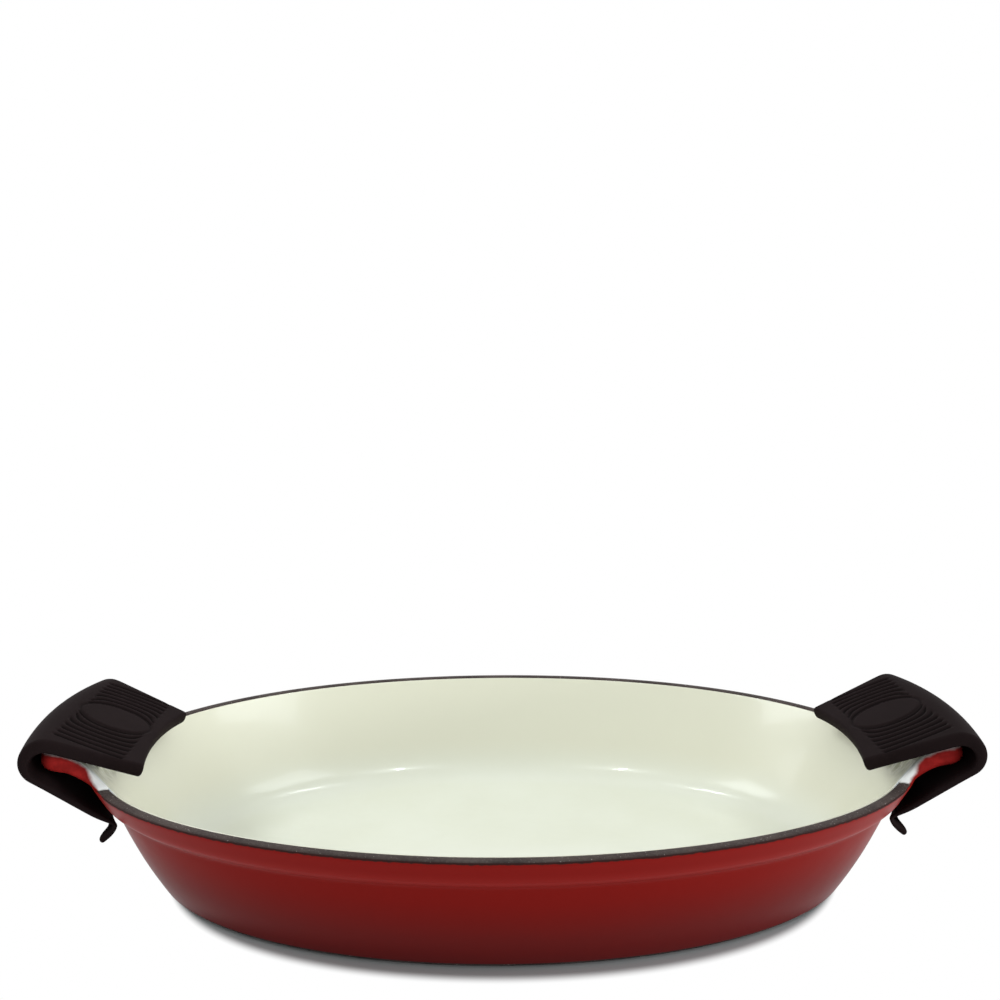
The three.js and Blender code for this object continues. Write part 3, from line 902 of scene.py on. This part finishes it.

# %% [markdown]
# ### Red enamel
# The red is sprayed lighter under the rim and deeper towards the foot, so its colour follows the
# height; its darkening towards the foot is also painted shade under the wall's overhang. The
# handles stay bright red. Over the step the coat is thin and lighter, and the lighter red there is
# also a painted highlight. Where the handles leave the rim the coat is so thin that the white
# ground coat shows. Its edge along the rim is ragged and burnt dark. Each of these could be a
# finish of its own, but they run into each other without a line, so one finish mixes them by
# height and by the numbers on the vertices.

# %% Red enamel
# Darker towards the foot: partly the enamel's own deeper red, partly painted shade under the wall's
# overhang
RED_AND_SHADE_BY_HEIGHT = [
    (0.00, colour(0.119, 0.015, 0.015)),
    (0.30, colour(0.132, 0.010, 0.009)),
    (0.62, colour(0.184, 0.008, 0.006)),
    (1.00, colour(0.212, 0.009, 0.007)),
]
# The step's lighter red: partly its thin coat, partly a painted highlight
THIN_STEP_RED_AND_HIGHLIGHT = colour(0.36, 0.034, 0.030)
HANDLE_RED, HANDLE_BRIGHT = colour(0.22, 0.012, 0.011), colour(0.36, 0.020, 0.018)
BURNT_RED = colour(0.034, 0.014, 0.013)
GROUND_COAT = colour(0.80, 0.82, 0.80)
# Heights at which the step's thin coat and its painted highlight end, and the handles' red begins
STEP_ENDS = (43.0, 45.0)
HANDLES_BEGIN = (48.5, 51.0)

red, shader, place = new_finish("red enamel", IOR=1.5, Specular_IOR_Level=0.02)
height = axis_of(place, Z) / MM
clouded = height + 4.0 * (noise(place, 30.0, 4.0) - 0.5)
# The height ramp; its dark foot end is partly painted shade
fade = clouded.node("ShaderNodeValToRGB", {"stops": RED_AND_SHADE_BY_HEIGHT}, Fac=clouded / RIM_HEIGHT)
handles = height.span(*HANDLES_BEGIN)
thin = mark_on(place, "thin_glaze")
# The lighter band along the step: thin coat and painted highlight
thin_step_and_highlight = thin.span(0.0, 0.2) * (1.0 - height.span(*STEP_ENDS))
lighter = (0.25 * thin_step_and_highlight).tint(fade, THIN_STEP_RED_AND_HIGHLIGHT)
mottled = noise(place, 160.0).span(0.35, 0.65).tint(HANDLE_RED, HANDLE_BRIGHT)
root = (thin + 0.3 * (noise(place, 350.0) - 0.5)).span(0.30, 0.72)
burnt = (mark_on(place, "rim_edge") + 0.9 * (noise(place, 420.0) - 0.5)).span(0.40, 0.66)
sprayed = burnt.tint(handles.tint(lighter, mottled), BURNT_RED)
peel = noise(place, 70.0, 2.0)
connect(shader,
        Base_Color=root.tint(sprayed, GROUND_COAT),
        Roughness=0.28 + 0.08 * noise(place, 120.0),
        Normal=bump(peel, 0.06, 0.001))
print(red.name, len(red.node_tree.nodes), "nodes")

# %% [markdown]
# ### Bare iron
# The rim and the base are seasoned iron: dark brown, matte and finely pitted from the sand, with
# a few grains that glint: they are smoother, and their lighter colour is a painted glint. The pits
# are far too small to model, so they are a bump from fine noise.

# %% Bare iron
IRON_DARK, IRON_BROWN = colour(0.033, 0.0245, 0.0228), colour(0.070, 0.054, 0.049)
# Lighter colour on a few grains: a painted glint
PAINTED_GLINT_GRAIN = colour(0.34, 0.31, 0.29)

iron, shader, place = new_finish("bare iron", IOR=1.5, Specular_IOR_Level=0.10)
pits = noise(place, 900.0, 4.0, 0.65)
stain = noise(place, 60.0, 3.0)
grain = noise(place, 1500.0, 2.0)
dark = (0.6 * stain + 0.4 * pits).span(0.35, 0.65).tint(IRON_DARK, IRON_BROWN)
# The grains get a painted glint in their colour and a real smoother shine
connect(shader,
        Base_Color=grain.span(0.66, 0.76).tint(dark, PAINTED_GLINT_GRAIN),
        Roughness=0.62 - 0.25 * grain.span(0.62, 0.70),
        Normal=bump(pits + 0.4 * grain, 0.5, 0.0004))
print(iron.name, len(iron.node_tree.nodes), "nodes")

# %% [markdown]
# ### Silicone
# The sleeves are matte warm black with a fine moulded grain, and a trace of dust in places. Their
# grooves are darker, because little light gets in. Shade alone would leave them too pale here, so
# the depth that was written on the vertices also darkens the colour.

# %% Silicone
SLEEVE_BLACK, SLEEVE_DUSTY = colour(0.0112, 0.0072, 0.0074), colour(0.0146, 0.0096, 0.0100)
# Painted shade in the grooves
GROOVE_PAINTED_SHADE = colour(0.0048, 0.0032, 0.0032)

silicone, shader, place = new_finish("black silicone", IOR=1.42, Specular_IOR_Level=0.02)
grain = noise(place, 1800.0, 2.0)
dust = noise(place, 45.0, 5.0, 0.6)
groove = mark_on(place, "groove")
black = dust.span(0.35, 0.75).tint(SLEEVE_BLACK, SLEEVE_DUSTY)
# The grooves' depth darkens the colour: painted shade
connect(shader,
        Base_Color=groove.span(0.1, 0.9).tint(black, GROOVE_PAINTED_SHADE),
        Roughness=0.55 + 0.12 * dust,
        Normal=bump(grain, 0.15, 0.0002))
print(silicone.name, len(silicone.node_tree.nodes), "nodes")

# %% [markdown]
# The casting and the coats still carry all three marks for their faces. They have done their work,
# so each piece now gets its one finish.

# %% Give each piece its finish
for piece, finish in ((casting, iron), (cream_coat, cream), (red_coat, red),
                      (right_sleeve, silicone), (left_sleeve, silicone)):
    piece.data.materials.clear()
    piece.data.materials.append(finish)
    print(piece.name, "is", finish.name)

# %% [markdown]
# ## The floor
# The dish stands on a white ground with a soft dark shadow close to the foot. On a plain white
# floor the shadow would spread further. So this floor is pale close to the foot for the light it
# throws on the dish and takes the real shadow there, but it is seen a darker grey, which is painted
# shadow, and it glows plain white further out. The change follows the foot's oval and comes nearer
# to it towards both ends.

# %% Floor
FLOOR_SIZE = 4
FOOT_HALF_LENGTH = 138.3 * MM
FOOT_HALF_BREADTH = 85.3 * MM
# In front of the foot's middle the shadow starts to fade and has gone at these distances,
# and at the foot's ends they are shorter by these.
SHADOW_FADE = (3.0 * MM, 10.0 * MM)
SHADOW_LOSS = (24.0 * MM, 22.0 * MM)
# Along the dish it fades between these two places.
SHADOW_ENDS = (FOOT_HALF_LENGTH - 9.0 * MM, FOOT_HALF_LENGTH + 1.0 * MM)
# The floor as it lights the dish, and the darker grey it is seen as near the foot: painted shadow
PALE_FLOOR, SHADED_FLOOR = colour(0.92, 0.92, 0.91), colour(0.47, 0.495, 0.50)
WHITE = colour(1, 1, 1)


def seen_directly(tree):
    """1 for what is seen, straight on, mirrored or through glass, and 0 for what only lights."""
    rays = tree.nodes.new("ShaderNodeLightPath").outputs
    straight, mirrored = Wire(tree, rays["Is Camera Ray"]), Wire(tree, rays["Is Glossy Ray"])
    return straight.larger(mirrored).larger(Wire(tree, rays["Is Transmission Ray"]))


bpy.ops.mesh.primitive_plane_add(size=FLOOR_SIZE)
floor = bpy.context.object
floor.name = "floor"
ground = bpy.data.materials.new("white ground")
tree = empty_nodes(ground)
seen = seen_directly(tree)
place = object_place(tree)
along = axis_of(place, X).size()
bulge = (1.0 - (along / FOOT_HALF_LENGTH) ** 2.0).larger(0.0) ** 0.5
in_front = axis_of(place, Y).size() - bulge * FOOT_HALF_BREADTH
to_end = (1.0 - bulge) ** 2.0
fade_start = SHADOW_FADE[0] - SHADOW_LOSS[0] * to_end
fade_end = SHADOW_FADE[1] - SHADOW_LOSS[1] * to_end
beyond_front = ((in_front - fade_start) / (fade_end - fade_start)).span(0.0, 1.0)
# Where the shadow ends is set here: past it the floor glows white
far = beyond_front.larger(along.span(*SHADOW_ENDS))
# Seen near the foot, the floor is darker grey than for the light it throws: painted shadow over the
# real one
lit = place.node("ShaderNodeBsdfDiffuse", Color=seen.tint(PALE_FLOOR, SHADED_FLOOR))
glow = place.node("ShaderNodeEmission", Color=WHITE, Strength=1.0)
ground_shader = place.node("ShaderNodeMixShader", i0=far * seen, i1=lit, i2=glow)
out = tree.nodes.new("ShaderNodeOutputMaterial")
tree.links.new(ground_shader.socket, out.inputs[0])
floor.data.materials.append(ground)
print("floor:", floor.name)

# %% [markdown]
# ## The light
# Enamel shows everything that is bright round it, so a studio lights it with large soft boxes.
# Here five fills light the dish and stay out of its reflections. A box at each side does both.
# Two dim windows below the boxes and four small lamps only show in the glaze, as its long
# reflections and its glints. An even white surround does the rest, and it is seen as plain white.

# %% Light
SURROUND_LIGHT = 0.60
BOWL_MIDDLE = Vector((0, 0, 30)) * MM
BOX_LIGHT, FILL_LIGHT = (0.90, 0.96, 1.0), (1.0, 1.0, 1.0)
# For each lamp: its direction and its height in degrees, its distance, its size and its power
FILLS = (
    ("overhead box", 90, 88, 1.3, (1.2, 0.9), 1.2),
    ("front fill", -90, 22, 1.2, (0.8, 0.8), 0.5),
    ("right fill", -14, 6, 1.2, (0.8, 0.2), 8.0),
    ("left fill", 175, 40, 1.2, (0.8, 0.6), 4.2),
    ("back fill", 45, 45, 1.2, (0.8, 0.6), 1.4),
)
BOXES = (
    ("right box", -23, 50, 1.3, (0.55, 0.34), 2.1),
    ("left box", 183, 51, 1.3, (0.50, 0.36), 2.4),
)
REFLECTIONS = (
    ("right window", -23, 31, 1.3, (0.55, 0.17), 0.62),
    ("left window", 183, 31, 1.3, (0.50, 0.17), 0.58),
    ("small right front lamp", -60, 63, 1.5, (0.04, 0.14), 1.0),
    ("small left front lamp", -122, 63, 1.5, (0.04, 0.14), 1.0),
    ("small right lamp", 23, 72, 1.5, (0.04, 0.14), 1.0),
    ("small left lamp", 135, 72, 1.5, (0.04, 0.14), 1.0),
)

world = bpy.data.worlds.new("white surround")
scene.world = world
tree = empty_nodes(world)
brightness = SURROUND_LIGHT + (1.0 - SURROUND_LIGHT) * seen_directly(tree)
sky = Wire(tree).node("ShaderNodeBackground", Color=WHITE, Strength=brightness)
out = tree.nodes.new("ShaderNodeOutputWorld")
tree.links.new(sky.socket, out.inputs[0])


def soft_box(name, azimuth, height, distance, size, power, in_reflections=True, shines=True):
    """A lamp that faces the bowl from a direction, given by two angles in degrees."""
    turn, lift = math.radians(azimuth), math.radians(height)
    level = math.cos(lift)
    way = Vector((level * math.cos(turn), level * math.sin(turn), math.sin(lift)))
    bpy.ops.object.light_add(type="AREA", location=BOWL_MIDDLE + way * distance)
    lamp = bpy.context.object
    lamp.name = name
    lamp.data.shape = "RECTANGLE"
    lamp.data.size, lamp.data.size_y = size
    lamp.data.energy = power
    lamp.data.color = BOX_LIGHT if in_reflections else FILL_LIGHT
    lamp.rotation_euler = (-way).to_track_quat("-Z", "Y").to_euler()
    lamp.visible_glossy = in_reflections
    lamp.visible_diffuse = shines


for lamp in FILLS:
    soft_box(*lamp, in_reflections=False)
for lamp in BOXES:
    soft_box(*lamp)
for lamp in REFLECTIONS:
    soft_box(*lamp, shines=False)
scene.view_settings.view_transform = "Standard"

# %% [markdown]
# ## Each piece on its body
# Each piece rides on the body that it moves with, and the measured solid that it takes the place
# of is hidden.

# %% Attach the pieces and hide the measured parts
PIECES = (
    (casting, "dish", "cast_iron_body", "bare_iron"),
    (cream_coat, "dish", "interior_enamel", "cream_enamel"),
    (red_coat, "dish", "exterior_enamel", "red_enamel"),
    (right_sleeve, "right_grip", "right_grip", "black_silicone"),
    (left_sleeve, "left_grip", "left_grip", "black_silicone"),
)
for piece, body, node, slot in PIECES:
    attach(piece, body)
    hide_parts(node)
